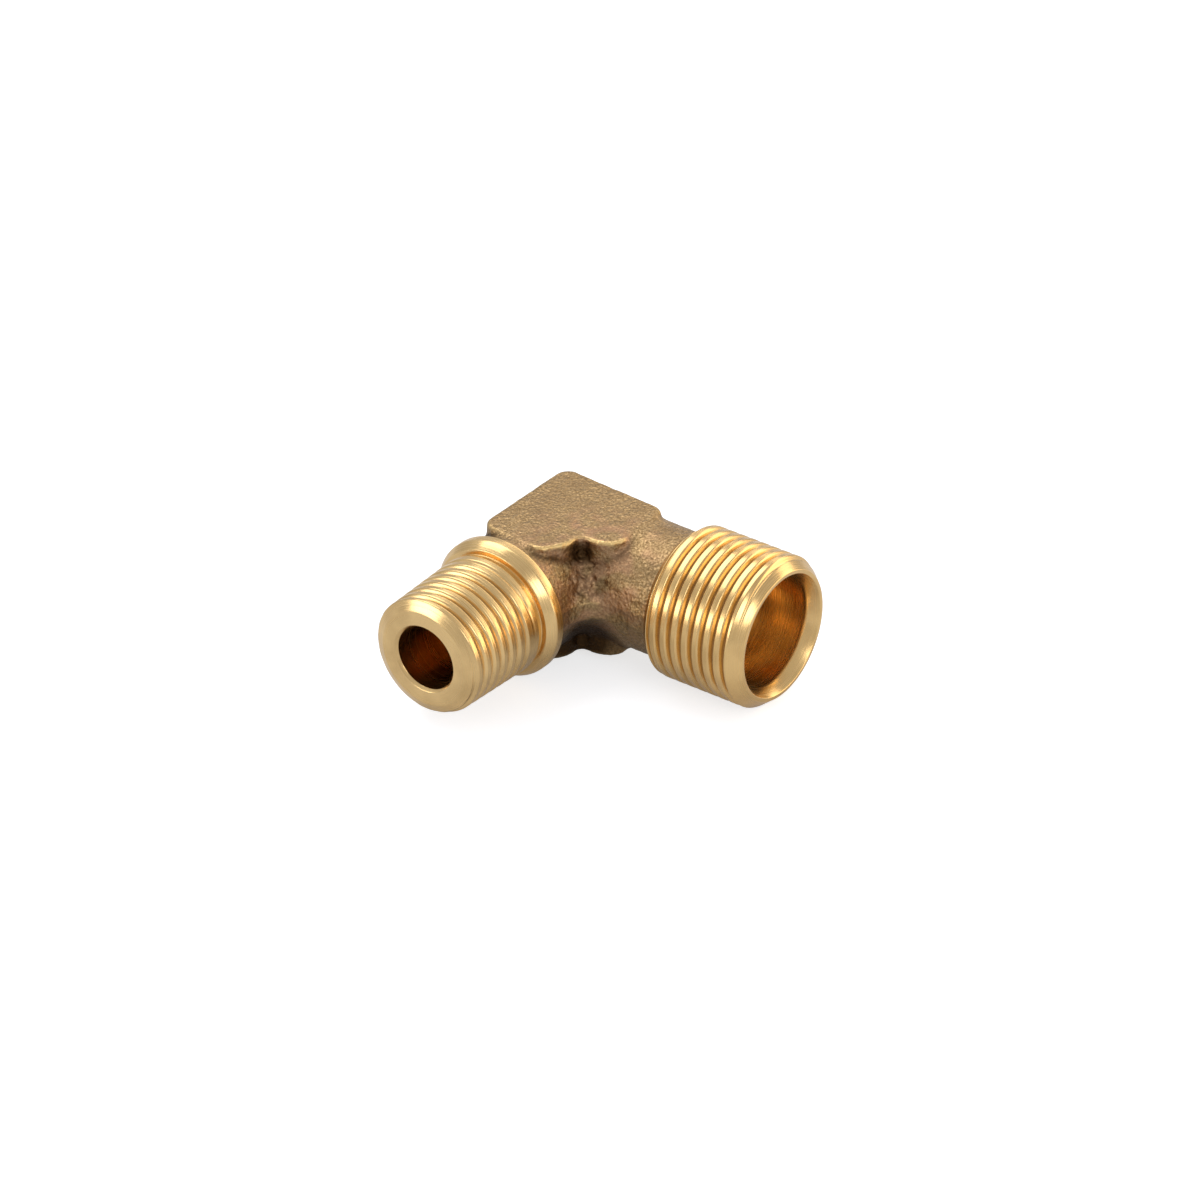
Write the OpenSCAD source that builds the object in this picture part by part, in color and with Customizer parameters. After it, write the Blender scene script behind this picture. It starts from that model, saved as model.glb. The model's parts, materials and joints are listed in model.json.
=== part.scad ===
// Brass 90 degree elbow body: male taper pipe thread on one leg, male compression
// thread with a tube socket and a cone seat on the other. Millimetres.
// The origin is where the axes of the two legs cross. The taper leg runs along -Y,
// the compression leg along +X, and the spanner flats face +Z and -Z.

/* [Forged elbow] */
// Diameter of the round necks
neck_d = 13.7; // [12.4:0.1:14.2]
// Distance between the two spanner flats
flats_af = 13.8; // [13:0.1:15]
// Width of the spanner block on each leg
block_w = 9.4; // [8:0.1:10.4]
// How far the block runs along the taper leg
block_len_taper = 9.8; // [7:0.1:11]
// How far the block runs along the compression leg
block_len_comp = 9; // [7:0.1:13]
// Plan radius of the block's corners
block_corner_r = 1.6; // [0.8:0.1:2.4]
// Softening of the block's top and bottom edges
block_edge_r = 0.5; // [0.2:0.1:0.9]
// How much wider the block is inside the crook on the compression leg
crook_step = 0.9; // [0:0.1:1.2]
// Plan radius in the block's inside corner
block_fillet_r = 1.0; // [0.4:0.1:1.6]
// Height of the trimmed flash land around the parting plane
land_h = 2; // [1:0.1:3]
// How far the flash land stands out of the necks
land_proud = 0.1; // [0.05:0.05:0.5]
// Plan radius of the flash land in the inside corner of the elbow
land_fillet_r = 3.6; // [1:0.1:4]

/* [Taper leg] */
// Centre of the elbow to the end face
taper_len = 25.4; // [23:0.1:32]
// Centre of the elbow to the back of the collar
collar_at = 11.9; // [11.5:0.1:14.3]
// How far the collar stands out of the thread
collar_lip = 0.95; // [0.6:0.05:1.6]
// Thickness of the collar
collar_w = 2.2; // [1.6:0.1:2.6]
// Axial length of the bevel on the collar's front
collar_bevel = 1; // [0.5:0.1:1.2]
// Width of the relief groove between collar and thread
relief_w = 0.8; // [0.5:0.1:1.2]
// Major diameter of the thread at the gauge plane
taper_gauge_d = 13.157; // [12:0.001:16]
// Gauge plane to the small end of the thread
taper_gauge_len = 5; // [4.7:0.1:7.3]
// Depth of the thread
taper_depth = 0.856; // [0.6:0.001:0.9]
// Axial length of the end chamfer
taper_chamfer = 0.65; // [0.3:0.05:1.2]
// Radial width of the end chamfer
taper_chamfer_w = 1.15; // [0.4:0.05:1.4]

/* [Compression leg] */
// Centre of the elbow to the end face
comp_len = 26.6; // [25:0.1:34]
// Centre of the elbow to the first thread
comp_thread_at = 14.3; // [13.5:0.1:16]
// Major diameter of the thread
comp_major_d = 16.45; // [16.2:0.01:20]
// Depth of the thread
comp_depth = 0.75; // [0.5:0.01:0.85]
// Axial length of the bevel where the thread starts at the neck
comp_back_bevel = 1.2; // [0.5:0.1:2.5]
// Axial length of the end chamfer
comp_chamfer = 1.35; // [0.6:0.05:1.8]
// Radial width of the end chamfer
comp_chamfer_w = 1.1; // [0.6:0.05:1.2]
// Width of the narrow rim between the end chamfer and the cone seat
rim_w = 0.4; // [0.2:0.05:0.5]
// Outer diameter of the tube that goes in the socket
tube_d = 12; // [10:0.1:12.3]
// Gap between tube and socket, on the diameter
tube_clearance = 0.1; // [0.1:0.05:0.3]
// Half angle of the cone seat, in degrees
seat_angle = 25; // [20:1:45]
// End face to the tube stop
socket_depth = 9.6; // [7:0.1:11]

/* [Threads] */
// Pitch of both threads, which is 19 turns an inch
pitch = 1.337; // [1.25:0.001:1.65]
// Width of the flat at the bottom of both grooves
root_w = 0.223; // [0.1:0.001:0.3]

/* [Passage] */
// Diameter of the passage through both legs
passage_d = 7; // [5:0.1:8]
// How far each drill runs past the centre
drill_past = 1; // [0.5:0.1:2]
// Chamfer at the passage's mouth in the taper leg
mouth_chamfer = 0.3; // [0.1:0.05:0.6]

/* [Hidden] */

FORGED = [0.56, 0.44, 0.28];
TURNED = [0.86, 0.68, 0.34];

neck_r = neck_d / 2;
passage_r = passage_d / 2;
comp_r = comp_major_d / 2;
rim_r = comp_r - comp_chamfer_w;
seat_r = rim_r - rim_w;
socket_r = (tube_d + tube_clearance) / 2;
seat_len = (seat_r - socket_r) / tan(seat_angle);

// taper of 1 in 16 on the diameter
taper_slope = 1 / 32;
thread_at = collar_at + collar_w + relief_w;
taper_small_r = taper_gauge_d / 2 - taper_gauge_len * taper_slope;
taper_big_r = taper_small_r + (taper_len - thread_at) * taper_slope;
collar_r = taper_big_r + collar_lip;
collar_back_bevel = 0.2;
// the relief groove's floor and the collar's front edge, below and above the thread's crest
relief_depth = 0.3;
collar_front_step = 0.3;
// the compression thread's back bevel starts this far below the bottom of the thread
comp_back_step = 0.2;

// both threads have 55 degree flanks
flank = tan(27.5);
steps_per_turn = 30;
// how far a cutting tool stands outside the surface that it cuts, and a fillet inside the
// walls that it joins
cut_clear = 0.1;
fillet_overlap = 0.5;
// sides of a turned surface, of a drilled hole, of a plan fillet and of a block corner
turned_sides = 96;
drilled_sides = 64;
fillet_sides = 48;
corner_sides = 32;

// Stands a shape that is drawn around +Z on the taper leg or on the compression leg
module on_taper_leg() { rotate([90, 0, 0]) children(); }
module on_comp_leg() { rotate([0, 90, 0]) children(); }

// A tool for the groove of a right-hand thread around +Z, from z0 up to z1. The thread's
// major radius goes from r0 to r1, and over fade_len the groove starts from nothing.
module thread_cutter(z0, z1, r0, r1, depth, fade_len) {
    turns = (z1 - z0) / pitch;
    n = ceil(turns * steps_per_turn);
    function fade(z) = fade_len > 0 ? min(1, (z - z0) / fade_len) : 1;
    function section(z, r) = let (
        outer_r = r + cut_clear,
        inner_r = r - depth * fade(z),
        inner_w = root_w / 2,
        outer_w = inner_w + (depth + cut_clear) * flank)
        [[outer_r, z - outer_w], [inner_r, z - inner_w], [inner_r, z + inner_w], [outer_r, z + outer_w]];
    points = [for (i = [0:n]) let (t = i / n, a = 360 * turns * t)
        for (p = section(z0 + (z1 - z0) * t, r0 + (r1 - r0) * t)) [p[0] * cos(a), p[0] * sin(a), p[1]]];
    sides = [for (i = [0:n - 1], j = [0:3]) let (a = 4 * i + j, b = 4 * i + (j + 1) % 4)
        each [[a, a + 4, b + 4], [a, b + 4, b]]];
    last = 4 * n;
    ends = [[0, 1, 2], [0, 2, 3], [last + 2, last + 1, last], [last + 3, last + 2, last]];
    polyhedron(points, concat(sides, ends), convexity = 10);
}

// The passage's two drilled holes, which both run a little past the centre
module passage() {
    on_taper_leg() translate([0, 0, -drill_past])
        cylinder(h = taper_len + 2 * drill_past, r = passage_r, $fn = drilled_sides);
    on_comp_leg() translate([0, 0, -drill_past])
        cylinder(h = comp_len + 2 * drill_past, r = passage_r, $fn = drilled_sides);
}

// One corner of the spanner block, a post with softened ends
module block_post(x, y) {
    translate([x, y, 0]) {
        cylinder(h = flats_af - 2 * block_edge_r, r = block_corner_r, center = true, $fn = corner_sides);
        cylinder(h = flats_af, r = block_corner_r - block_edge_r, center = true, $fn = corner_sides);
    }
}

// A straight run of the spanner block between two opposite corners in plan
module block_run(x0, x1, y0, y1) {
    inset = block_corner_r;
    hull() for (x = [x0 + inset, x1 - inset], y = [y0 + inset, y1 - inset]) block_post(x, y);
}

module spanner_block() {
    half_w = block_w / 2;
    crook_y = -half_w - crook_step;
    block_run(-half_w, half_w, -block_len_taper, half_w);
    block_run(-half_w, block_len_comp, crook_y, half_w);
    translate([half_w, crook_y, 0]) inside_corner(block_fillet_r, flats_af - 2 * block_edge_r);
}

// Fills the inside corner of an elbow at the origin, whose walls run along +X and -Y
module inside_corner(r, h) {
    translate([0, 0, -h / 2]) linear_extrude(h) difference() {
        translate([-fillet_overlap, -r]) square([r + fillet_overlap, r + fillet_overlap]);
        translate([r, -r]) circle(r = r, $fn = fillet_sides);
    }
}

// The band left where the forging flash was trimmed off, around the parting plane
module flash_land() {
    land_r = neck_r + land_proud;
    translate([0, 0, -land_h / 2]) {
        cylinder(h = land_h, r = land_r, $fn = turned_sides);
        translate([-land_r, -collar_at, 0]) cube([2 * land_r, collar_at, land_h]);
        translate([0, -land_r, 0]) cube([comp_thread_at, 2 * land_r, land_h]);
    }
    translate([land_r, -land_r, 0]) inside_corner(land_fillet_r, land_h);
}

module forged_elbow() {
    color(FORGED) difference() {
        union() {
            on_taper_leg() cylinder(h = collar_at, r = neck_r, $fn = turned_sides);
            on_comp_leg() cylinder(h = comp_thread_at, r = neck_r, $fn = turned_sides);
            sphere(r = neck_r, $fn = turned_sides);
            spanner_block();
            flash_land();
        }
        passage();
    }
}

module taper_thread_end() {
    relief_at = collar_at + collar_w;
    color(TURNED) difference() {
        on_taper_leg() rotate_extrude($fn = turned_sides) polygon([
            [0, collar_at],
            [collar_r - collar_back_bevel, collar_at],
            [collar_r, collar_at + collar_back_bevel],
            [collar_r, relief_at - collar_bevel],
            [taper_big_r + collar_front_step, relief_at],
            [taper_big_r - relief_depth, relief_at],
            [taper_big_r - relief_depth, thread_at],
            [taper_big_r, thread_at],
            [taper_small_r + taper_chamfer * taper_slope, taper_len - taper_chamfer],
            [taper_small_r - taper_chamfer_w, taper_len],
            [0, taper_len],
        ]);
        // the first half turn fades in, and the last turn runs off the end face
        on_taper_leg() thread_cutter(thread_at + pitch / 2, taper_len + pitch,
            taper_big_r - pitch / 2 * taper_slope, taper_small_r - pitch * taper_slope,
            taper_depth, pitch / 2);
        on_taper_leg() translate([0, 0, taper_len - mouth_chamfer])
            cylinder(h = 2 * mouth_chamfer, r1 = passage_r, r2 = passage_r + 2 * mouth_chamfer,
                $fn = drilled_sides);
        passage();
    }
}

module compression_thread_end() {
    back_r = comp_r - comp_depth - comp_back_step;
    color(TURNED) difference() {
        on_comp_leg() rotate_extrude($fn = turned_sides) polygon([
            [0, comp_thread_at],
            [back_r, comp_thread_at],
            [comp_r, comp_thread_at + comp_back_bevel],
            [comp_r, comp_len - comp_chamfer],
            [rim_r, comp_len],
            [0, comp_len],
        ]);
        on_comp_leg() thread_cutter(comp_thread_at - pitch, comp_len + pitch, comp_r, comp_r, comp_depth, 0);
        on_comp_leg() rotate_extrude($fn = turned_sides) polygon([
            [0, comp_len - socket_depth],
            [socket_r, comp_len - socket_depth],
            [socket_r, comp_len - seat_len],
            [seat_r, comp_len],
            [seat_r, comp_len + drill_past],
            [0, comp_len + drill_past],
        ]);
        passage();
    }
}

forged_elbow();
taper_thread_end();
compression_thread_end();
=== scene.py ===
# %% [markdown]
# # A forged brass elbow for a pipe and a tube
#
# This notebook builds one plumbing part: a brass elbow with a taper pipe thread on one leg,
# and a straight compression thread with a tube socket on the other. The real part is a
# single forging. A hot slug of brass is pressed between two dies, the flash is trimmed off,
# the skin is shot blasted, and both ends are then turned and threaded on a lathe.
#
# So it has two kinds of surface, and the model has three zones: the dull forged elbow in
# the middle, and a bright turned end on each leg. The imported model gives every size. It is
# loaded first, and each detailed piece then takes the place of one of its nodes.

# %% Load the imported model
import json
import math

import bmesh
import bpy
import numpy as np
from mathutils import Matrix, Vector, noise


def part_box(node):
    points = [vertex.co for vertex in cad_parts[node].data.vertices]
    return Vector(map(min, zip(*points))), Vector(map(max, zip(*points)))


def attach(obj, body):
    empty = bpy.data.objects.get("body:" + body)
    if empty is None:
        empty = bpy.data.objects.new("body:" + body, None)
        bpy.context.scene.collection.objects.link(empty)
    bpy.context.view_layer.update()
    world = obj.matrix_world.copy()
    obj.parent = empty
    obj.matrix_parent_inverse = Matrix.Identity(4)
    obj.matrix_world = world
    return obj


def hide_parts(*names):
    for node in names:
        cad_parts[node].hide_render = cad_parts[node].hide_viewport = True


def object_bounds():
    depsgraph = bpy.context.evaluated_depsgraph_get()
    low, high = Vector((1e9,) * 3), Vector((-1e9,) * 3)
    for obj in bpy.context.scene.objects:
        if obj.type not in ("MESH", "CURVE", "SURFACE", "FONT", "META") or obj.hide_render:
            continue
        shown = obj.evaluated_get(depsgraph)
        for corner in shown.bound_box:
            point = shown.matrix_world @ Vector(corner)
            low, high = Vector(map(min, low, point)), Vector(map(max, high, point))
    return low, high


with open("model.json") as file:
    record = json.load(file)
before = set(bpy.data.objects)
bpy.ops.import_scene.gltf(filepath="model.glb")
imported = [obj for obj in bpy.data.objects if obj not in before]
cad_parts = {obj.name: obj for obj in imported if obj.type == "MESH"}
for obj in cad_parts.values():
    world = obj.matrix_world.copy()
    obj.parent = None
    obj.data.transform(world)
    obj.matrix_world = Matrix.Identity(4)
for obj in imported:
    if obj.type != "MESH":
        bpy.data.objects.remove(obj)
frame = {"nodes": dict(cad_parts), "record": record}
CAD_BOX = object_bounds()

print("nodes:", sorted(frame["nodes"]))

# %% [markdown]
# ## Sizes
#
# The pieces are modelled in millimetres, because Blender's remesher and its boolean tools
# work best on sizes near one, and they are scaled to metres when they are finished. The
# origin is where the two legs' axes cross. The taper leg runs along -Y and the compression
# leg along +X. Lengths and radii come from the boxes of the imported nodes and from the
# bores of the record, so that the looks can't drift away from the frame.

# %% Read the sizes off the frame
MM = 0.001


def node_box(name):
    """Lowest and highest corner of a node, in millimetres."""
    return [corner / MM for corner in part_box(name)]


def mount_radius(name):
    """Radius of a bore or thread that the record lists, in millimetres."""
    return next(m for m in frame["record"]["mounts"] if m["name"] == name)["dims"]["r_mm"]


taper_low, taper_high = node_box("taper_thread_end")
comp_low, comp_high = node_box("compression_thread_end")
elbow_low, elbow_high = node_box("forged_elbow")

TAPER_LEN, COLLAR_AT, COLLAR_R = -taper_low.y, -taper_high.y, taper_high.x
COMP_LEN, COMP_START, COMP_R = comp_high.x, comp_low.x, comp_high.y
FLAT_Z, LAND_R = elbow_high.z, elbow_high.y
PASSAGE_R = mount_radius("taper_leg_passage")
SOCKET_R, SEAT_R = mount_radius("tube_socket"), mount_radius("cone_seat")
print(f"taper leg {TAPER_LEN:.2f} mm, compression leg {COMP_LEN:.2f} mm, thread radius {COMP_R:.3f} mm")

# %% [markdown]
# ## The camera and the room
#
# Camera first, so that every later step can be judged in the view that matters. A long lens
# far away keeps the two legs nearly parallel, as in a catalogue picture. The camera's own
# axes are worked out from its two angles, then it stands back along one of them.

# %% Place the camera
CAMERA_TURN, CAMERA_RISE = math.radians(36.7), math.radians(31.65)
CAMERA_DISTANCE, LENS = 633.5, 182.4
AIM_RIGHT, AIM_UP = 2.68, -4.68

back = Vector((
    math.sin(CAMERA_TURN) * math.cos(CAMERA_RISE),
    -math.cos(CAMERA_TURN) * math.cos(CAMERA_RISE),
    math.sin(CAMERA_RISE),
))
right = Vector((math.cos(CAMERA_TURN), math.sin(CAMERA_TURN), 0))
up = back.cross(right)

camera = bpy.data.objects.new("camera", bpy.data.cameras.new("camera"))
bpy.context.scene.collection.objects.link(camera)
camera.data.lens, camera.data.sensor_width = LENS, 36
camera.data.clip_start, camera.data.clip_end = 0.05, 20
place = Matrix((right, up, back)).transposed().to_4x4()
place.translation = (right * AIM_RIGHT + up * AIM_UP + back * CAMERA_DISTANCE) * MM
camera.matrix_world = place
bpy.context.scene.camera = camera
print("camera at", [round(c, 4) for c in camera.location])

# %% [markdown]
# Polished metal shows its room more than its own colour, so the room matters as much as the
# finish. It is a pale studio with soft panels: a wide one behind, a large one overhead, one
# low on the left front, and three round the right side that also light the open socket.
# The walls and the opal floor sheet look white to the camera, so that the ground is clean
# and shadows stay faint. The light they give the part is softer, so that the metal keeps
# its contrast. There is no film curve, so white stays white.

# %% Helpers for nodes and colours
SCENE = bpy.context.scene
SCENE.view_settings.view_transform = "Standard"


def linear(hex_colour):
    """An sRGB colour such as "#c8a060" as the linear numbers that Blender works in."""
    parts = [int(hex_colour[i:i + 2], 16) / 255 for i in (1, 3, 5)]
    return [p / 12.92 if p <= 0.04045 else ((p + 0.055) / 1.055) ** 2.4 for p in parts] + [1.0]


def add(tree, kind, inputs=None, **settings):
    """Adds a node. Settings are its own properties, and inputs are values or links by socket."""
    node = tree.nodes.new(kind)
    for key, value in settings.items():
        setattr(node, key, value)
    for socket, value in (inputs or {}).items():
        if isinstance(value, bpy.types.NodeSocket):
            tree.links.new(value, node.inputs[socket])
        else:
            node.inputs[socket].default_value = value
    return node


def for_camera(tree, to_part, to_camera):
    """A strength with one value for the light on the part and one for what the camera sees."""
    seen = add(tree, "ShaderNodeLightPath").outputs["Is Camera Ray"]
    return add(tree, "ShaderNodeMapRange", {0: seen, 3: to_part, 4: to_camera}).outputs[0]


# %% Hang the soft panels
def soft_panel(name, toward, distance, width, height, brightness, colour="#ffffff"):
    """A rectangular soft light that stands in one direction from the part and faces it."""
    light = bpy.data.lights.new(name, "AREA")
    light.shape, light.size, light.size_y = "RECTANGLE", width, height
    light.energy, light.color = brightness * math.pi * width * height, linear(colour)[:3]
    panel = bpy.data.objects.new(name, light)
    SCENE.collection.objects.link(panel)
    away = Vector(toward).normalized()
    panel.location = away * distance
    panel.rotation_euler = away.to_track_quat("Z", "Y").to_euler()
    print(f"{name}: {light.energy:.2f} W")


soft_panel("back_panel", (0.10, 0.80, 0.45), 0.60, 0.80, 0.22, 1.6, "#fff0d8")
soft_panel("overhead_panel", (-0.50, 0.15, 0.85), 0.50, 0.46, 0.34, 2.1)
soft_panel("front_left_panel", (-0.51, -0.81, 0.30), 0.50, 0.30, 0.16, 2.8)
soft_panel("front_right_panel", (0.74, -0.42, 0.53), 0.50, 0.22, 0.20, 2.6)
soft_panel("rear_right_panel", (0.64, 0.72, 0.14), 0.55, 0.34, 0.30, 2.1, "#ffe4ba")
soft_panel("right_panel", (0.95, 0.25, 0.12), 0.55, 0.34, 0.16, 2.0, "#ffeccf")

# %% Paint the walls of the room
WALL, WALL_SEEN = 0.58, 1.0

world = bpy.data.worlds.new("pale studio")
SCENE.world = world
world.use_nodes = True
room = world.node_tree
room.links.new(for_camera(room, WALL, WALL_SEEN), room.nodes["Background"].inputs["Strength"])
room.nodes["Background"].inputs["Color"].default_value = linear("#fafbff")

# %% Lay the lit floor sheet
SHEET_GLOW, SHEET_GLOW_SEEN = 0.10, 0.70

floor_mesh = bmesh.new()
bmesh.ops.create_grid(floor_mesh, x_segments=1, y_segments=1, size=3)
bmesh.ops.translate(floor_mesh, verts=floor_mesh.verts, vec=(0, 0, CAD_BOX[0].z))
floor_data = bpy.data.meshes.new("floor")
floor_mesh.to_mesh(floor_data)
floor = bpy.data.objects.new("floor", floor_data)
SCENE.collection.objects.link(floor)
sheet = bpy.data.materials.new("opal sheet lit from below")
sheet.use_nodes = True
opal = sheet.node_tree.nodes["Principled BSDF"].inputs
opal["Base Color"].default_value = linear("#c6c9cf")
opal["Roughness"].default_value = 0.9
opal["Specular IOR Level"].default_value = 0.0
opal["Emission Color"].default_value = linear("#ffffff")
glow = for_camera(sheet.node_tree, SHEET_GLOW, SHEET_GLOW_SEEN)
sheet.node_tree.links.new(glow, opal["Emission Strength"])
floor_data.materials.append(sheet)
print("floor at", round(CAD_BOX[0].z / MM, 3), "mm")

# %% [markdown]
# ## Finish 1: turned brass
#
# The ends are cut on a lathe from free-cutting brass, an alloy of copper, zinc and a little
# lead. The tool leaves a fine spiral of lines, far finer than the thread, which stretches
# each reflection across the lines. The pattern needs only two numbers at each point: how
# far along the axis it is, and how far from it. Feeding those to a noise gives rings that
# run right round the part, on the cylinders and on the end faces alike. The drill leaves
# coarser lines in the bores, which reflect mostly themselves and so look deep orange.

# %% Mix the turned brass
PER_MM = 1 / MM


def brass(name, colour, roughness):
    """A new metal with one Principled shader, its tree, and the place on the part."""
    metal = bpy.data.materials.new(name)
    metal.use_nodes = True
    tree = metal.node_tree
    shader = tree.nodes["Principled BSDF"]
    shader.inputs["Base Color"].default_value = linear(colour)
    shader.inputs["Metallic"].default_value = 1
    shader.inputs["Roughness"].default_value = roughness
    spot = add(tree, "ShaderNodeTexCoord").outputs["Object"]
    return metal, tree, shader, spot


def turned_brass(name, axis, bright, dark, roughness, tool_line_mm):
    """Free-cutting brass off the lathe, with tool lines round the X or the Y axis."""
    metal, tree, shader, spot = brass(name, bright, roughness)
    split = add(tree, "ShaderNodeSeparateXYZ", {"Vector": spot})
    along, across = ("X", "Y") if axis == "X" else ("Y", "X")
    flat = add(tree, "ShaderNodeCombineXYZ", {0: split.outputs[across], 1: split.outputs["Z"]})
    out = add(tree, "ShaderNodeVectorMath", {0: flat.outputs[0]}, operation="LENGTH")
    rings = add(tree, "ShaderNodeCombineXYZ", {0: split.outputs[along], 1: out.outputs["Value"]})
    # feed lines are 0.05 mm apart on the real part and are drawn wider, so that they show
    lines = add(tree, "ShaderNodeTexNoise",
                {"Vector": rings.outputs[0], "Scale": PER_MM / tool_line_mm, "Detail": 2.0})
    cloud = add(tree, "ShaderNodeTexNoise", {"Vector": spot, "Scale": PER_MM / 3.0, "Detail": 3.0})
    # the groove attribute is 1 at the bottom of the thread, and the lower part of each groove is
    # mixed towards the dark colour as painted shade
    groove = add(tree, "ShaderNodeAttribute", attribute_name="groove")
    painted_groove_shade = add(tree, "ShaderNodeMapRange",
                  {0: groove.outputs["Fac"], 1: 0.6, 2: 1.0, 3: 0.0, 4: 0.85})
    colour = add(tree, "ShaderNodeMix", {0: painted_groove_shade.outputs[0], 6: linear(bright), 7: linear(dark)},
                 data_type="RGBA")
    shade = add(tree, "ShaderNodeMapRange", {0: cloud.outputs["Fac"], 1: 0.4, 2: 0.75, 3: 0.0, 4: 0.22})
    mixed = add(tree, "ShaderNodeMix",
                {0: shade.outputs[0], 6: colour.outputs[2], 7: linear(dark)}, data_type="RGBA")
    gloss = add(tree, "ShaderNodeMapRange",
                {0: lines.outputs["Fac"], 1: 0.3, 2: 0.7, 3: roughness * 0.75, 4: roughness * 1.3})
    bump = add(tree, "ShaderNodeBump",
               {"Height": lines.outputs["Fac"], "Strength": 0.35, "Distance": 0.02 * MM})
    for socket, value in (("Base Color", mixed.outputs[2]), ("Roughness", gloss.outputs[0]),
                          ("Normal", bump.outputs[0])):
        tree.links.new(value, shader.inputs[socket])
    return metal


# the dark colour is painted shade in the thread roots, and also the random cloudy mottle
TURNED_TAPER = turned_brass("turned brass, taper leg", "Y", "#f1cc8e", "#74491e", 0.24, 0.12)
TURNED_COMP = turned_brass("turned brass, compression leg", "X", "#efc888", "#74491e", 0.24, 0.14)
BORED_TAPER = turned_brass("bored brass, taper leg", "Y", "#e8bc78", "#8c5826", 0.24, 0.30)
BORED_COMP = turned_brass("bored brass, compression leg", "X", "#ecc88c", "#9c6e3a", 0.24, 0.30)
print("turned finishes:", [m.name for m in (TURNED_TAPER, TURNED_COMP, BORED_TAPER, BORED_COMP)])

# %% [markdown]
# ## Finish 2: forged and blasted brass
#
# Hot brass grows a thin brown oxide between the dies. Steel shot then knocks most of it off
# and leaves a skin of tiny dents, dull tan on the open faces. The shot can't reach into the
# corners, so some oxide stays there, and the hollows are also painted dark as shade. Edges
# rub bright in the tumbling drum, and the upper ones also get a painted highlight. Two point
# attributes, one for edges and one for the painted shade in hollows, are measured on the
# finished shape and tell the finish where those places are.

# %% Mix the forged brass
GRAIN_MM, DENT_MM, CLOUD_MM = 0.22, 0.45, 3.5


def forged_brass(name):
    """Shot-blasted forged brass, with rubbed edges plus a painted highlight, and oxide plus painted
    shade in recesses.
    """
    metal, tree, shader, spot = brass(name, "#b08d5c", 0.5)
    grain = add(tree, "ShaderNodeTexNoise", {"Vector": spot, "Scale": PER_MM / GRAIN_MM, "Detail": 3.0})
    dents = add(tree, "ShaderNodeTexVoronoi", {"Vector": spot, "Scale": PER_MM / DENT_MM})
    cloud = add(tree, "ShaderNodeTexNoise", {"Vector": spot, "Scale": PER_MM / CLOUD_MM, "Detail": 4.0})
    edge, oxide_and_painted_shade, stain = (add(tree, "ShaderNodeAttribute", attribute_name=layer).outputs["Fac"]
                           for layer in ("edge", "oxide_and_painted_shade", "copper_stain"))

    def blend(amount, below, above):
        return add(tree, "ShaderNodeMix", {0: amount, 6: below, 7: above}, data_type="RGBA").outputs[2]

    def stretch(value, low, high, start, end):
        return add(tree, "ShaderNodeMapRange", {0: value, 1: low, 2: high, 3: start, 4: end}).outputs[0]

    grains = stretch(grain.outputs["Fac"], 0.35, 0.65, 0, 1)
    skin = blend(grains, linear("#8c724d"), linear("#b99a6e"))
    skin = blend(stretch(cloud.outputs["Fac"], 0.42, 0.7, 0, 0.5), skin, linear("#8c7150"))
    # copper comes to the surface in pinkish patches where the slug was hottest
    skin = blend(stain, skin, linear("#bb8f70"))
    # painted shade over a little oxide: hollows, deep dents, the niche and the crook's underside go dark
    skin = blend(oxide_and_painted_shade, skin, linear("#3e2a16"))
    # rubbed edges plus a painted highlight, most on the upper ridge by the groin
    skin = blend(edge, skin, linear("#e8c688"))
    gloss = stretch(grain.outputs["Fac"], 0.35, 0.65, 0.50, 0.31)
    height = add(tree, "ShaderNodeMath", {0: dents.outputs["Distance"], 1: grain.outputs["Fac"]},
                 operation="ADD")
    bump = add(tree, "ShaderNodeBump",
               {"Height": height.outputs[0], "Strength": 1.0, "Distance": 0.06 * MM})
    for socket, value in (("Base Color", skin), ("Roughness", gloss), ("Normal", bump.outputs[0])):
        tree.links.new(value, shader.inputs[socket])
    return metal


FORGED = forged_brass("forged brass, shot blasted")
print("forged finish:", FORGED.name)

# %% [markdown]
# ## The threads
#
# A thread is one line that climbs a pitch in each turn. So the surface is spun, as on a
# lathe: a straight row of points goes once round the axis and rises by one pitch on the
# way, and its end then meets its own start one turn higher up. Every row of the mesh
# follows the helix, so the crests stay sharp without a fine grid. The two ragged ends are
# cut square, and the rest of the piece is drawn on from the cut rims, ring by ring.
#
# Both threads have 19 turns to the inch and 55 degree flanks. They are not cut to their full
# depth, which leaves wide crests. The die rounds the corners a little, which a short average
# over the profile copies.

# %% Helpers for lathe work
STEPS = 180
PITCH, ROOT_HALF = 1.337, 0.07
FLANK = math.tan(math.radians(27.5))
ROWS = 24


def groove_shape(offset, depth, soften):
    """Depth of the groove at a distance from its middle, with softened corners."""
    total = 0
    for k in (-1, -0.5, 0, 0.5, 1):
        wall = (abs(offset + k * soften) - ROOT_HALF) / FLANK
        total += min(max(depth - max(wall, 0), 0), depth)
    return total / 5


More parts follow.
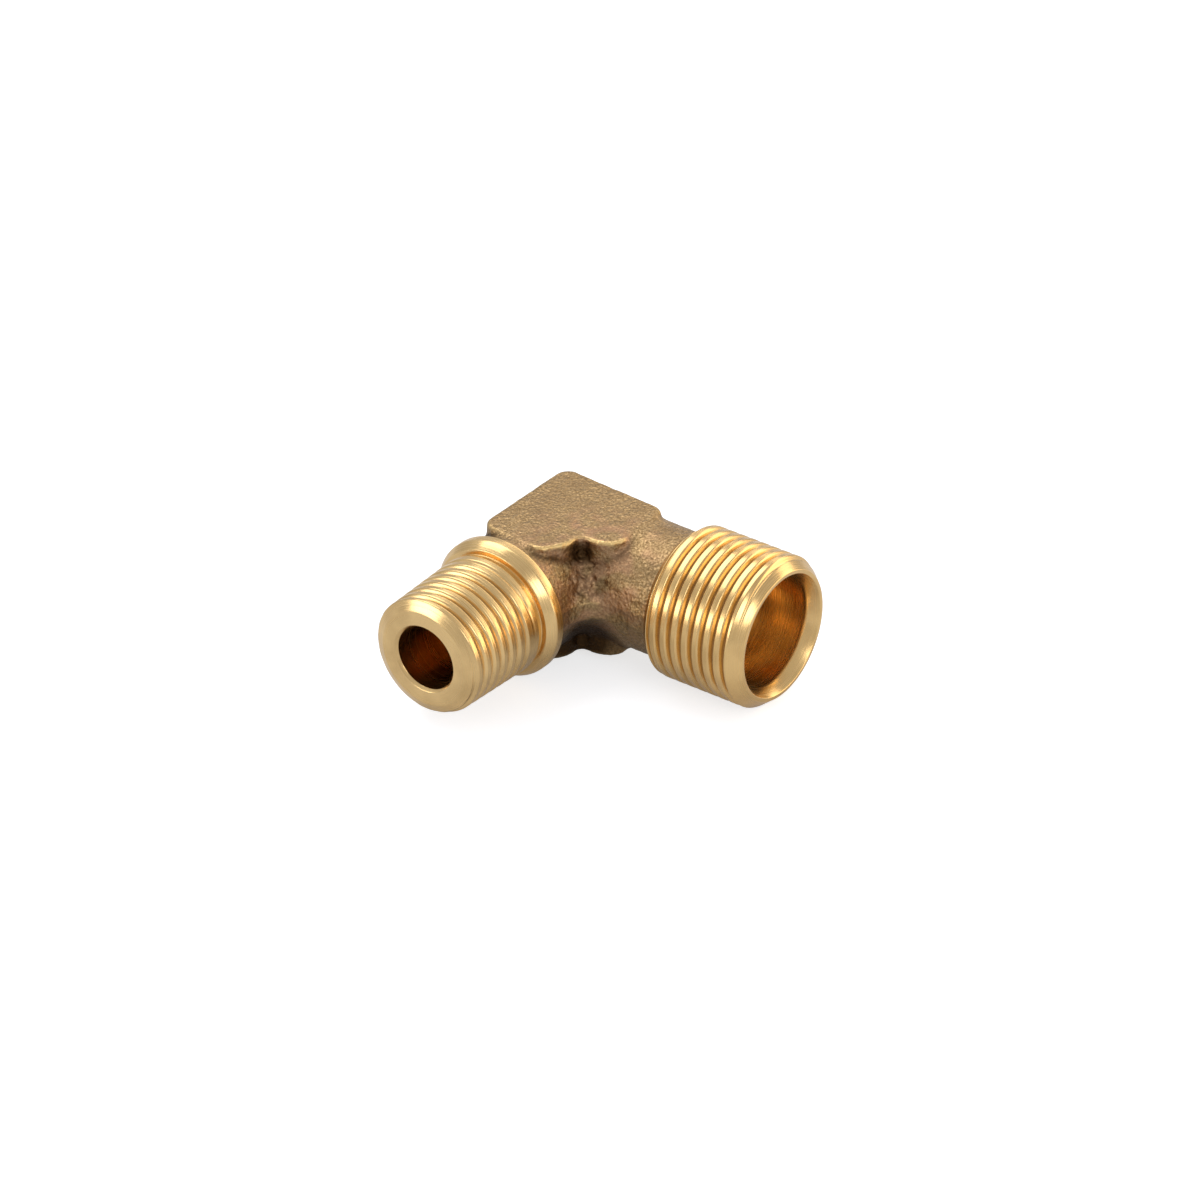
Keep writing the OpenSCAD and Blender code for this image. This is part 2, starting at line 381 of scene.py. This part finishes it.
def threaded_skin(low, high, first_groove, depth, soften, fade, blank):
    """An open tube round +Z with a right-hand thread cut in it. The blank gives the radius
    before cutting at each height, and over the fade length the groove starts from nothing."""
    bm = bmesh.new()
    count = int(((high - low) / PITCH + 1) * ROWS) + 2
    line = [bm.verts.new((1, 0, low - PITCH + k * PITCH / ROWS)) for k in range(count)]
    edges = [bm.edges.new(pair) for pair in zip(line, line[1:])]
    bmesh.ops.spin(bm, geom=line + edges, cent=(0, 0, 0), axis=(0, 0, 1),
                   dvec=(0, 0, PITCH / STEPS), angle=math.tau, steps=STEPS, use_merge=False)
    bmesh.ops.remove_doubles(bm, verts=bm.verts, dist=0.001)
    for height, side in ((low, -1), (high, 1)):
        bmesh.ops.bisect_plane(bm, geom=bm.verts[:] + bm.edges[:] + bm.faces[:], dist=0.0001,
                               plane_co=(0, 0, height), plane_no=(0, 0, side), clear_outer=True)
    groove = bm.verts.layers.float.new("groove")
    for v in bm.verts:
        turn = math.atan2(v.co.y, v.co.x) % math.tau / math.tau
        phase = (v.co.z - first_groove) / PITCH - turn
        middle = first_groove + (round(phase) + turn) * PITCH
        start = min(max((middle - first_groove) / fade, 0), 1) if fade else 1
        cut = groove_shape((phase - round(phase)) * PITCH, depth * start, soften)
        full, crest = blank(v.co.z)
        radius = min(full, crest - cut)
        v[groove] = min(max((min(full, crest) - radius) / depth, 0), 1)
        v.co.xy = (radius * math.cos(turn * math.tau), radius * math.sin(turn * math.tau))
    return bm


def rim_at(bm, height):
    """The open edge of the tube at one height."""
    return [e for e in bm.edges if e.is_boundary and all(abs(v.co.z - height) < 0.01 for v in e.verts)]


def draw_on(bm, rim, rings):
    """Draws the open rim on through rings of (radius, height, rounding), and returns each new rim with
    its rounding.
    """
    made = []
    for radius, height, rounding in rings:
        new = bmesh.ops.extrude_edge_only(bm, edges=rim)["geom"]
        rim = [e for e in new if isinstance(e, bmesh.types.BMEdge) and e.is_boundary]
        for v in {v for e in rim for v in e.verts}:
            v.co.xy = v.co.xy.normalized() * radius
            v.co.z = height
        made.append((rim, rounding))
    return made


def round_rings(bm, made):
    """Bevels each ring that has a rounding, which is how the edge of turned work is broken."""
    for rim, rounding in made:
        if rounding:
            bmesh.ops.bevel(bm, geom=rim, offset=rounding, offset_type="OFFSET", affect="EDGES",
                            segments=3, profile=0.5, material=-1, clamp_overlap=True)


def closed_piece(bm, name, turn, materials):
    """Turns a finished mesh into its place, scales it to metres and makes the object."""
    bmesh.ops.recalc_face_normals(bm, faces=bm.faces)
    bmesh.ops.transform(bm, matrix=Matrix.Diagonal((MM, MM, MM, 1)) @ turn, verts=bm.verts)
    for f in bm.faces:
        f.smooth = True
    open_edges = sum(not e.is_manifold for e in bm.edges)
    data = bpy.data.meshes.new(name)
    bm.to_mesh(data)
    bm.free()
    for material in materials:
        data.materials.append(material)
    piece = bpy.data.objects.new(name, data)
    SCENE.collection.objects.link(piece)
    data.calc_loop_triangles()
    print(f"{name}: {len(data.loop_triangles)} triangles, {open_edges} open edges")
    return piece


# %% [markdown]
# ## The taper leg's end
#
# From the elbow outwards it has a collar with a broad bevel, a narrow relief groove where
# the die runs out, and then the taper thread, which gets thinner towards its chamfered
# end. The taper is 1 in 16 on the diameter.

# %% Turn the taper end
COLLAR_W, COLLAR_BEVEL, RELIEF_W = 2.2, 1.0, 0.8
TAPER_DEPTH, TAPER_SLOPE = 0.5, 1 / 32
TAPER_CHAMFER, TAPER_CHAMFER_W = 0.65, 1.15
MOUTH_CHAMFER = 0.3

relief_at = COLLAR_AT + COLLAR_W
thread_at = relief_at + RELIEF_W
taper_big_r = COLLAR_R - 0.95
taper_small_r = taper_big_r - (TAPER_LEN - thread_at) * TAPER_SLOPE


def taper_blank(z):
    """Radius of the blank and of the crests at a height on the taper leg."""
    crest = taper_big_r - (z - thread_at) * TAPER_SLOPE
    chamfer_start = TAPER_LEN - TAPER_CHAMFER
    cone = crest - max(z - chamfer_start, 0) * TAPER_CHAMFER_W / TAPER_CHAMFER
    return cone, crest


skin_low, skin_high = thread_at + 0.1, TAPER_LEN - 0.13
bm = threaded_skin(skin_low, skin_high, thread_at + PITCH / 2, TAPER_DEPTH, 0.10, PITCH / 2, taper_blank)
end_r = taper_small_r - TAPER_CHAMFER_W
outside = draw_on(bm, rim_at(bm, skin_high), [
    (end_r, TAPER_LEN, 0.08),
    (PASSAGE_R + MOUTH_CHAMFER, TAPER_LEN, 0.04),
    (PASSAGE_R, TAPER_LEN - MOUTH_CHAMFER, 0.04),
    (PASSAGE_R, COLLAR_AT, 0),
])
inside = draw_on(bm, rim_at(bm, skin_low), [
    (taper_big_r, thread_at, 0.07),
    (taper_big_r - 0.3, thread_at - 0.02, 0.08),
    (taper_big_r - 0.3, relief_at, 0.08),
    (taper_big_r + 0.3, relief_at, 0.08),
    (COLLAR_R, relief_at - COLLAR_BEVEL, 0.12),
    (COLLAR_R, COLLAR_AT + 0.2, 0.06),
    (COLLAR_R - 0.2, COLLAR_AT, 0.05),
    (PASSAGE_R + 1, COLLAR_AT, 0),
])
bmesh.ops.bridge_loops(bm, edges=outside[-1][0] + inside[-1][0])
round_rings(bm, outside[:-1] + inside[:-1])
for f in bm.faces:
    middle = f.calc_center_median()
    f.material_index = int(middle.xy.length < PASSAGE_R + 0.02)
taper_end = closed_piece(bm, "turned_taper_end", Matrix.Rotation(math.radians(90), 4, "X"),
                         [TURNED_TAPER, BORED_TAPER])
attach(taper_end, "root")
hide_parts("taper_thread_end")

# %% [markdown]
# ## The compression leg's end
#
# Its thread is straight, with flat crests, and starts on a bevel right at the neck. At the
# other end come a long chamfer, a narrow rim and the cone that the brass ring seats on.
# Inside is the socket for the tube, which stops at a step, and the passage goes on.

# %% Turn the compression end
COMP_DEPTH, COMP_BACK_DROP, COMP_BACK_BEVEL = 0.52, 0.9, 1.0
COMP_CHAMFER, COMP_CHAMFER_W = 1.35, 1.1
SOCKET_DEPTH, SEAT_HALF_ANGLE = 9.6, 25
back_r, rim_r = COMP_R - COMP_BACK_DROP, COMP_R - COMP_CHAMFER_W
seat_len = (SEAT_R - SOCKET_R) / math.tan(math.radians(SEAT_HALF_ANGLE))


def comp_blank(z):
    """Radius of the blank and of the crests at a height on the compression leg."""
    rise = back_r + (z - COMP_START) * (COMP_R - back_r) / COMP_BACK_BEVEL
    cone = COMP_R - (z - COMP_LEN + COMP_CHAMFER) * COMP_CHAMFER_W / COMP_CHAMFER
    return min(rise, cone, COMP_R), COMP_R


skin_low, skin_high = COMP_START + 0.1, COMP_LEN - 0.3
bm = threaded_skin(skin_low, skin_high, COMP_START - PITCH, COMP_DEPTH, 0.06, 0, comp_blank)
outside = draw_on(bm, rim_at(bm, skin_high), [
    (rim_r, COMP_LEN, 0.08),
    (SEAT_R, COMP_LEN, 0.08),
    (SOCKET_R, COMP_LEN - seat_len, 0.3),
    (SOCKET_R, COMP_LEN - SOCKET_DEPTH, 0.15),
    (PASSAGE_R, COMP_LEN - SOCKET_DEPTH, 0.1),
    (PASSAGE_R, COMP_START, 0),
])
inside = draw_on(bm, rim_at(bm, skin_low), [
    (back_r, COMP_START, 0.05),
    (PASSAGE_R + 1, COMP_START, 0),
])
bmesh.ops.bridge_loops(bm, edges=outside[-1][0] + inside[-1][0])
round_rings(bm, outside[:-1] + inside[:-1])
for f in bm.faces:
    middle = f.calc_center_median()
    f.material_index = int(middle.xy.length < SOCKET_R + 0.02 and middle.z < COMP_LEN - seat_len - 0.3)
comp_end = closed_piece(bm, "turned_compression_end", Matrix.Rotation(math.radians(90), 4, "Y"),
                        [TURNED_COMP, BORED_COMP])
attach(comp_end, "root")
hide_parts("compression_thread_end")

# %% [markdown]
# ## The forged elbow
#
# A forging has no sharp corner anywhere: the die is rounded so that hot brass can flow. It
# could be one subdivision surface, but its round necks, its L-shaped spanner block and the
# trimmed band all cross each other, and blending those by hand is slow. So the raw shapes
# are simply put on top of each other and remeshed into one skin of small even faces. That
# skin is then smoothed in two ways: a light overall rounding, and a stronger one that may
# only fill hollows, which gives the big soft fillets that a die has.

# %% Lay out the raw shapes
LAND_STEP = 0.1
NECK_R = LAND_R - LAND_STEP
LAND_HALF, LAND_PROUD, LAND_FILLET, LAND_EDGE_R = 1.25, 0.08, 3.6, 0.45
BLOCK_EDGE_R = 0.3
GROIN_BALL_AT, GROIN_BALL_R = (2, -2, 0), (8, 8, 6, 1)
OVERRUN = 1.5
# the spanner block in plan, as (x, y, corner radius): its outer corner, its end on the taper
# leg, the crook, and its end on the compression leg
BLOCK_PLAN = [(-4.7, 4.7, 1.6), (-4.7, -9.8, 1.6), (3.2, -10.3, 0.8), (5.1, -7.5, 1.0),
              (4.9, -5.5, 1.0), (7.4, -5.7, 1.2), (9.3, -4.2, 1.2), (9.1, 3.9, 1.5)]
LAND_EDGE = NECK_R + LAND_PROUD
LAND_PLAN = [(-LAND_EDGE, LAND_EDGE, LAND_EDGE - 0.01), (-LAND_EDGE, -COLLAR_AT - OVERRUN, 0),
             (LAND_EDGE, -COLLAR_AT - OVERRUN, 0), (LAND_EDGE, -LAND_EDGE, LAND_FILLET),
             (COMP_START + OVERRUN, -LAND_EDGE, 0), (COMP_START + OVERRUN, LAND_EDGE, 0)]


def plan_block(bm, plan, half_height, edge_r):
    """Draws a plan up to its full height, rounds its upright corners and softens its rims."""
    corners = [bm.verts.new((x, y, -half_height)) for x, y, _ in plan]
    base = bm.faces.new(corners)
    top = bmesh.ops.extrude_face_region(bm, geom=[base])["geom"]
    lifted = [g for g in top if isinstance(g, bmesh.types.BMVert)]
    bmesh.ops.translate(bm, verts=lifted, vec=(0, 0, 2 * half_height))
    mine = set(corners) | set(lifted)
    for x, y, radius in plan:
        upright = [e for e in bm.edges if e.verts[0] in mine and
                   all(abs(v.co.x - x) < 0.01 and abs(v.co.y - y) < 0.01 for v in e.verts)]
        if upright and radius:
            made = bmesh.ops.bevel(bm, geom=upright, offset=radius, offset_type="OFFSET", affect="EDGES",
                                   segments=8, profile=0.5, material=-1)
            mine |= set(made["verts"])
    rims = [e for e in bm.edges if all(v in mine and abs(abs(v.co.z) - half_height) < 0.01
                                       for v in e.verts)]
    bmesh.ops.bevel(bm, geom=rims, offset=edge_r, offset_type="OFFSET", affect="EDGES",
                    segments=3, profile=0.5, material=-1)


def neck(bm, length, turn):
    """A round bar from the elbow's centre along one leg."""
    bmesh.ops.create_cone(bm, cap_ends=True, segments=128, radius1=NECK_R, radius2=NECK_R,
                          depth=length, matrix=turn @ Matrix.Translation((0, 0, length / 2)))


bm = bmesh.new()
ALONG_TAPER = Matrix.Rotation(math.radians(90), 4, "X")
ALONG_COMP = Matrix.Rotation(math.radians(90), 4, "Y")
neck(bm, COLLAR_AT + OVERRUN, ALONG_TAPER)
neck(bm, COMP_START + OVERRUN, ALONG_COMP)
bmesh.ops.create_uvsphere(bm, u_segments=128, v_segments=64, radius=NECK_R)
# a flattened ball fills the groin between the necks, where the die has its largest radius
bmesh.ops.create_uvsphere(bm, u_segments=128, v_segments=64, radius=1,
                          matrix=Matrix.Translation(GROIN_BALL_AT) @ Matrix.Diagonal(GROIN_BALL_R))
plan_block(bm, BLOCK_PLAN, FLAT_Z, BLOCK_EDGE_R)
plan_block(bm, LAND_PLAN, LAND_HALF, LAND_EDGE_R)
bmesh.ops.recalc_face_normals(bm, faces=bm.faces)
raw = bpy.data.meshes.new("raw_shapes")
bm.to_mesh(raw)
bm.free()
print("raw shapes:", len(raw.polygons), "faces")

# %% Remesh them into one skin
VOXEL = 0.13


def applied(mesh, name, *modifiers):
    """A new mesh with modifiers applied, each given as (kind, settings)."""
    holder = bpy.data.objects.new(name, mesh)
    SCENE.collection.objects.link(holder)
    for kind, settings in modifiers:
        modifier = holder.modifiers.new(kind, kind)
        for key, value in settings.items():
            setattr(modifier, key, value)
    graph = bpy.context.evaluated_depsgraph_get()
    result = bpy.data.meshes.new_from_object(holder.evaluated_get(graph))
    bpy.data.objects.remove(holder)
    return result


skin = applied(raw, "remesh", ("REMESH", {"mode": "VOXEL", "voxel_size": VOXEL}))
print("skin:", len(skin.vertices), "points")

# %% [markdown]
# The smoothing works on all points at once. Each one looks at the middle of its
# neighbours. In the light pass it simply moves part of the way there. The block's end on the
# compression leg gets many more such moves, so that its top edge melts into the neck. In the
# filling pass a point moves only if that is outwards along its own normal, so edges stay and
# hollows fill. The fill is strong in the groin where the two necks meet, and at the block's
# end. Elsewhere the block's walls stay steep.

# %% Round it like a forging
points = np.empty(len(skin.vertices) * 3)
skin.vertices.foreach_get("co", points)
points = points.reshape(-1, 3)
pairs = np.empty(len(skin.edges) * 2, int)
skin.edges.foreach_get("vertices", pairs)
pairs = pairs.reshape(-1, 2)
degree = np.bincount(pairs.ravel(), minlength=len(points))[:, None]


def neighbours_mean(values):
    """For each point, the mean of a quantity over the points joined to it by an edge."""
    total = np.zeros_like(values)
    for axis in range(values.shape[1]):
        for a, b in ((0, 1), (1, 0)):
            total[:, axis] += np.bincount(pairs[:, a], values[pairs[:, b], axis], len(points))
    return total / degree


def normals():
    """The outward normal at every point of the skin as it is now."""
    skin.vertices.foreach_set("co", points.ravel())
    skin.update()
    result = np.empty(len(points) * 3)
    skin.vertex_normals.foreach_get("vector", result)
    return result.reshape(-1, 3)


def softened(values, rounds):
    """A copy of a quantity, blurred over the skin by some rounds."""
    values = values.copy()
    for _ in range(rounds):
        values += 0.5 * (neighbours_mean(values) - values)
    return values


LIGHT_ROUNDS, MELT_ROUNDS, FILL_ROUNDS = 6, 90, 110
FILL_SEAM_ROUNDS, MELT_SEAM_ROUNDS = 20, 30
GROIN_FILL, END_FILL, WEAK_FILL = 1.6, 1.0, 0.12
x, y, z = points.T
in_groin = (abs(x + y) < 3.0) & (x > 4.8) & (abs(z) < 4.4)
at_block_end = x > 8.4
fill = np.where(in_groin, GROIN_FILL, np.where(at_block_end, END_FILL, WEAK_FILL))[:, None]
fill = softened(fill, FILL_SEAM_ROUNDS)
points[:] = softened(points, LIGHT_ROUNDS)
melt = ((x > 8.2) & (abs(y) < 3.0)).astype(float)[:, None]
melt = softened(melt, MELT_SEAM_ROUNDS)
for _ in range(MELT_ROUNDS):
    points += 0.5 * melt * (neighbours_mean(points) - points)
for step in range(FILL_ROUNDS):
    if step % 10 == 0:
        facing = normals()
    pull = ((neighbours_mean(points) - points) * facing).sum(1)
    points += 0.6 * fill * np.maximum(pull, 0)[:, None] * facing
print("filled; highest point", round(points[:, 2].max(), 3), "mm")

# %% [markdown]
# Now the attributes for the finish. A point that stands above a slightly blurred copy of
# the skin is on an edge, and one that lies below a strongly blurred copy is in a hollow, which
# gets painted shade over a little oxide. The ridge round the crook sticks out and gets the most
# edge colour, partly rubbing and partly a painted highlight, and upper edges get more than
# lower ones, which paints light from above. The niche under its peak and the underside of the
# crook get painted shade too. The dents of the blasting are real moves of the skin, taken from
# a noise at the size of the shot's marks, and they are deepest in the groin, where the dies
# wear roughest. The deepest dents there get painted shade.

# %% Measure edges and hollows, and dent the skin
EDGE_BLUR, EDGE_HEIGHTS = 18, (0.02, 0.06)
HOLLOW_BLUR, HOLLOW_DEPTHS = 160, (0.02, 0.17)
# the niche and the underside of the crook are spots of painted shade
GROIN, NICHE_SHADE_AT, UNDERSIDE_SHADE_AT = (6.9, -6.9, 2.8), (5.3, -6.1, 5.2), (5.9, -6.9, -4.7)
# shares of the edge colour, rubbing plus painted highlight, on the outer rims and below the middle
OUTER_RIM_HIGHLIGHT, LOWER_EDGE_HIGHLIGHT = 0.3, 0.2
# dents this deep or deeper get the full painted shade
SHOT_DENT, DIE_WAVE, DENT_SHADE_DEPTH = 0.03, 0.035, 0.08


def height_above_blur(rounds):
    """How far each point stands above a copy of the skin that is blurred by some rounds."""
    return ((points - softened(points, rounds)) * facing).sum(1)


def ramp(values, low, high):
    """0 at low, 1 at high and straight in between."""
    return np.clip((values - low) / (high - low), 0, 1)


def near(spot, full, none):
    """1 within one distance of a spot, 0 beyond another and straight in between."""
    return ramp(-np.linalg.norm(points - np.array(spot), axis=1), -none, -full)


facing = normals()
edge = ramp(height_above_blur(EDGE_BLUR), *EDGE_HEIGHTS)
# the edge colour is rubbing plus a painted highlight: full on the upper ridge, less on outer rims,
# little below
ridge_highlight = OUTER_RIM_HIGHLIGHT + (1 - OUTER_RIM_HIGHLIGHT) * near(GROIN, 7, 10)
edge *= np.where(points[:, 2] > 0, ridge_highlight, LOWER_EDGE_HIGHLIGHT)
# points in hollows get painted shade, over a little oxide
oxide_and_painted_shade = ramp(-height_above_blur(HOLLOW_BLUR), *HOLLOW_DEPTHS)
# painted shade on the underside of the crook
oxide_and_painted_shade = np.maximum(oxide_and_painted_shade, near(UNDERSIDE_SHADE_AT, 2.6, 4.9))
# painted shade in the niche under the ridge's peak
oxide_and_painted_shade = np.maximum(oxide_and_painted_shade, 0.75 * near(NICHE_SHADE_AT, 1.0, 1.9) * (points[:, 2] < FLAT_Z - 0.5))
rough, stained = near(GROIN, 0.8, 3.0), near(GROIN, 3.5, 9.5)

stain = np.empty(len(points))
dent = np.empty(len(points))
for i, p in enumerate(points):
    p = Vector(p)
    patch = noise.noise(p / 1.7) + 0.25
    stain[i] = min(0.5, max(0.0, patch * 1.3 * stained[i]))
    dent[i] = noise.noise(p / 0.42) * SHOT_DENT + noise.noise(p / 1.3) * DIE_WAVE
    dent[i] += (noise.noise(p / 0.5) * 0.2 + noise.noise(p / 1.1) * 0.3) * rough[i]
# the deepest dents in the groin are darkened as painted shade
oxide_and_painted_shade = np.maximum(oxide_and_painted_shade, 0.6 * rough * ramp(-dent, 0, DENT_SHADE_DEPTH))
points += (dent - SHOT_DENT)[:, None] * facing
normals()
for name, values in (("edge", edge), ("oxide_and_painted_shade", 0.95 * oxide_and_painted_shade), ("copper_stain", stain)):
    layer = skin.attributes.new(name, "FLOAT", "POINT")
    layer.data.foreach_set("value", values.astype(np.float32))
    print(f"{name}: mean {values.mean():.3f}, most {values.max():.2f}")

# %% [markdown]
# The skin runs on past both ends, so they are cut square where the turned zones begin and
# each hole gets a face. Two drills then make the passage, as on the real part, where they
# meet in the middle and run a little past each other.

# %% Cut the ends and drill the passage
DRILL_PAST, SLACK = 1.0, 0.01

bm = bmesh.new()
bm.from_mesh(skin)
for where, facing_out in (((0, -COLLAR_AT, 0), (0, -1, 0)), ((COMP_START, 0, 0), (1, 0, 0))):
    bmesh.ops.bisect_plane(bm, geom=bm.verts[:] + bm.edges[:] + bm.faces[:], dist=0.0001,
                           plane_co=where, plane_no=facing_out, clear_outer=True)
    bmesh.ops.holes_fill(bm, edges=[e for e in bm.edges if e.is_boundary])
bm.to_mesh(skin)
bm.free()


def drill(length, turn):
    """A drill as an object for the boolean, which starts past the centre and clears the end."""
    tool = bmesh.new()
    bmesh.ops.create_cone(tool, cap_ends=True, segments=96, radius1=PASSAGE_R, radius2=PASSAGE_R,
                          depth=length + DRILL_PAST,
                          matrix=turn @ Matrix.Translation((0, 0, (length - DRILL_PAST) / 2)))
    data = bpy.data.meshes.new("drill")
    tool.to_mesh(data)
    tool.free()
    holder = bpy.data.objects.new("drill", data)
    SCENE.collection.objects.link(holder)
    return holder


for length, turn in ((COLLAR_AT + OVERRUN, ALONG_TAPER), (COMP_START + OVERRUN, ALONG_COMP)):
    tool = drill(length, turn)
    skin = applied(skin, "drilled", ("BOOLEAN", {"operation": "DIFFERENCE", "solver": "MANIFOLD",
                                                 "object": tool}))
    bpy.data.objects.remove(tool)

bm = bmesh.new()
bm.from_mesh(skin)
for f in bm.faces:
    x, y, z = f.calc_center_median()
    in_taper_bore = math.hypot(x, z) < PASSAGE_R + SLACK and y < DRILL_PAST + SLACK
    in_comp_bore = math.hypot(y, z) < PASSAGE_R + SLACK and x > -DRILL_PAST - SLACK
    f.material_index = 1 if in_taper_bore else 2 if in_comp_bore else 0
print("bored faces:", sum(f.material_index > 0 for f in bm.faces))
elbow = closed_piece(bm, "forged_body", Matrix.Identity(4), [FORGED, BORED_TAPER, BORED_COMP])
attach(elbow, "root")
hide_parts("forged_elbow")

# %% [markdown]
# ## Finish
#
# Wide flat faces next to small roundings shade best when the wide face decides the normal,
# so the turned pieces get a Weighted Normal modifier.

# %% Even out the shading of the turned pieces
for piece in (taper_end, comp_end):
    piece.modifiers.new("even shading", "WEIGHTED_NORMAL").keep_sharp = False
